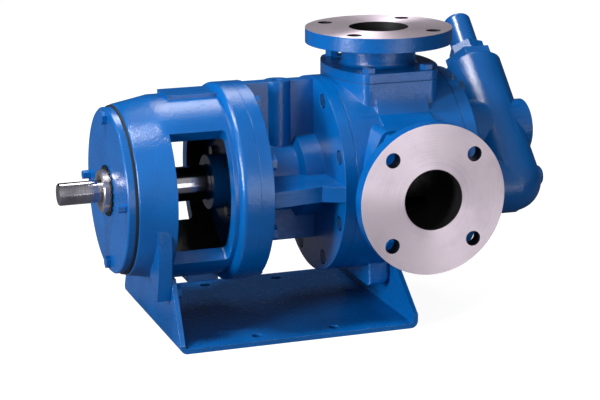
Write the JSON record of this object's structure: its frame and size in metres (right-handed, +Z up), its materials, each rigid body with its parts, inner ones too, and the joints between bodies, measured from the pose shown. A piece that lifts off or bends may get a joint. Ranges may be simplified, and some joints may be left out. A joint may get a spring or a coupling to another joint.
{
  "type": "gear pump",
  "caption": "Foot-mounted internal gear pump with flanged top and side ports, a tilted relief valve on the rear head, a seal bracket and a ball-bearing housing.",
  "frame": {"origin": "centre of the base's four holes, on the base's underside", "axes": "+X along the shaft from its coupling end to the pump head, -Y out of the side port, +Z up out of the top port"},
  "size_m": [0.6518, 0.3583, 0.3665],
  "materials": {
    "blue_enamel": "gloss",
    "machined_iron": "machined",
    "bright_steel": "ground",
    "dark_steel": "blackened",
    "bronze": "machined",
    "black_gasket": "matte",
    "fibre_packing": "braided",
    "seal_rubber": "satin"
  },
  "bodies": {
    "pump": {"base_frame": "blue_enamel", "base_leg_screws": "blue_enamel", "base_foot_screws": "blue_enamel", "bearing_housing": "blue_enamel", "bearing_cover": "blue_enamel", "cover_gasket": "black_gasket", "cover_screws": "blue_enamel", "cover_lock_screws": "blue_enamel", "cover_seal": "seal_rubber", "bearing_outer_race": "bright_steel", "housing_seal": "seal_rubber", "seal_bracket": "blue_enamel", "ring_screws": "blue_enamel", "bracket_screws": "blue_enamel", "seal_port_plug": "blue_enamel", "packing_gland": "blue_enamel", "gland_screws": "bright_steel", "packing_rings": "fibre_packing", "lantern_ring": "bronze", "shaft_bushing": "bronze", "bracket_gasket": "black_gasket", "head_gasket": "black_gasket", "top_port_adapter": "blue_enamel", "top_port_gasket": "black_gasket", "top_port_screws": "blue_enamel", "side_port_adapter": "blue_enamel", "side_port_gasket": "black_gasket", "side_port_screws": "blue_enamel", "pump_casing": "blue_enamel", "idler_pin": "bright_steel", "rear_head": "blue_enamel", "head_screws": "blue_enamel", "valve_body": "blue_enamel", "valve_gasket": "black_gasket", "valve_screws": "blue_enamel", "valve_spring": "dark_steel", "spring_plate": "bright_steel", "adjusting_screw": "bright_steel", "valve_bonnet": "blue_enamel", "adjuster_lock_nut": "bright_steel", "cap_gasket": "black_gasket", "valve_cap": "blue_enamel", "elbow_plug": "blue_enamel"},
    "shaft": {"drive_shaft": "bright_steel", "rotor": "machined_iron", "rotor_key": "bright_steel", "bearing_inner_race": "bright_steel", "spacer_collar": "bright_steel", "lock_washer": "dark_steel", "lock_nut": "bright_steel"},
    "idler": {"idler_gear": "machined_iron", "idler_bushing": "bronze"},
    "ball_cage": {"bearing_balls": "bright_steel", "bearing_cage": "bronze"},
    "poppet": {"relief_poppet": "bright_steel"}
  },
  "joints": [
    {"name": "shaft_spin", "type": "hinge", "parent": "pump", "child": "shaft", "pos_m": [0, 0, 0.18], "axis": [1, 0, 0], "continuous": true},
    {"name": "idler_spin", "type": "hinge", "parent": "pump", "child": "idler", "pos_m": [0.155, -0.01379, 0.19379], "axis": [1, 0, 0], "continuous": true},
    {"name": "cage_spin", "type": "hinge", "parent": "pump", "child": "ball_cage", "pos_m": [-0.184, 0, 0.18], "axis": [1, 0, 0], "continuous": true},
    {"name": "poppet_lift", "type": "slide", "parent": "pump", "child": "poppet", "axis": [0, 0.7071, 0.7071], "range_m": [0, 0.02], "stiffness_N_per_m": 15000, "springref_m": -0.02, "deforming": ["valve_spring"]}
  ],
  "couplings": [
    {"joint": "idler_spin", "follows": "shaft_spin", "ratio": 1.3333},
    {"joint": "cage_spin", "follows": "shaft_spin", "ratio": 0.40083}
  ]
}
